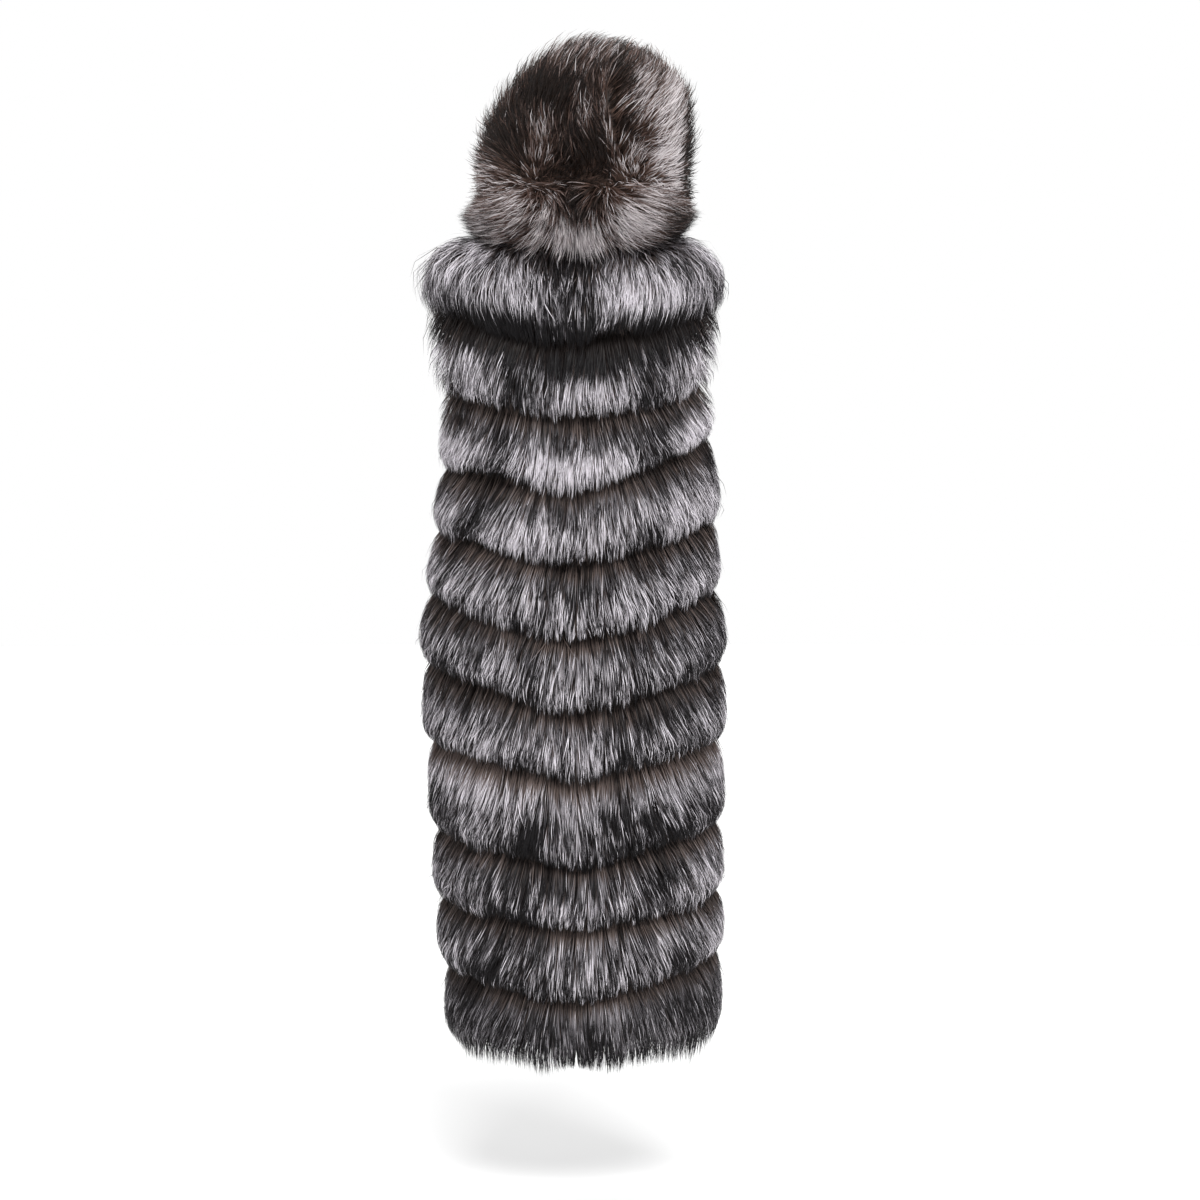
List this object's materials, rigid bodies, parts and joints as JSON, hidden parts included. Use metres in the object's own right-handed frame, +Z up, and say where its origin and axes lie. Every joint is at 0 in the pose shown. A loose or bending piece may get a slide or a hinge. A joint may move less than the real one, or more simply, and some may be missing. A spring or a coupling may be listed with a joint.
{
  "type": "long hooded fur vest",
  "caption": "Full-length sleeveless vest of horizontal fur strips with a deep fur hood, open at the front, worn shape.",
  "frame": {"origin": "middle of the neck at shoulder height, where the wearer's shoulders hold the garment", "axes": "+Z up along the body, +Y out of the back, -Y out of the front opening, +X towards the wearer's left"},
  "size_m": [0.4971, 0.3594, 1.6392],
  "materials": {
    "row_fur": "long silver fox fur, grey-brown underfur, silver-white bands and black tips, on soft leather",
    "hem_fur": "long silver fox fur, darker and less banded, on soft leather",
    "hood_fur": "long silver fox fur, dark brown at the back of the head with silver sides, on soft leather",
    "nape_fur": "light grey silver fox fur combed down over the neck seam",
    "brim_fur": "dark silver fox fur round the face opening"
  },
  "bodies": {
    "root": {"back_row_01": "row_fur", "back_row_02": "row_fur", "back_row_03": "row_fur", "back_row_04": "row_fur", "back_row_05": "row_fur", "back_row_06": "row_fur", "back_row_07": "row_fur", "back_row_08": "row_fur", "back_row_09": "row_fur", "back_row_10": "row_fur", "back_row_11": "hem_fur", "front_left_row_01": "row_fur", "front_left_row_02": "row_fur", "front_left_row_03": "row_fur", "front_left_row_04": "row_fur", "front_left_row_05": "row_fur", "front_left_row_06": "row_fur", "front_left_row_07": "row_fur", "front_left_row_08": "row_fur", "front_left_row_09": "row_fur", "front_left_row_10": "row_fur", "front_left_row_11": "hem_fur", "front_right_row_01": "row_fur", "front_right_row_02": "row_fur", "front_right_row_03": "row_fur", "front_right_row_04": "row_fur", "front_right_row_05": "row_fur", "front_right_row_06": "row_fur", "front_right_row_07": "row_fur", "front_right_row_08": "row_fur", "front_right_row_09": "row_fur", "front_right_row_10": "row_fur", "front_right_row_11": "hem_fur", "hood_left": "hood_fur", "hood_right": "hood_fur", "hood_nape_band": "nape_fur", "hood_brim": "brim_fur"}
  },
  "joints": []
}
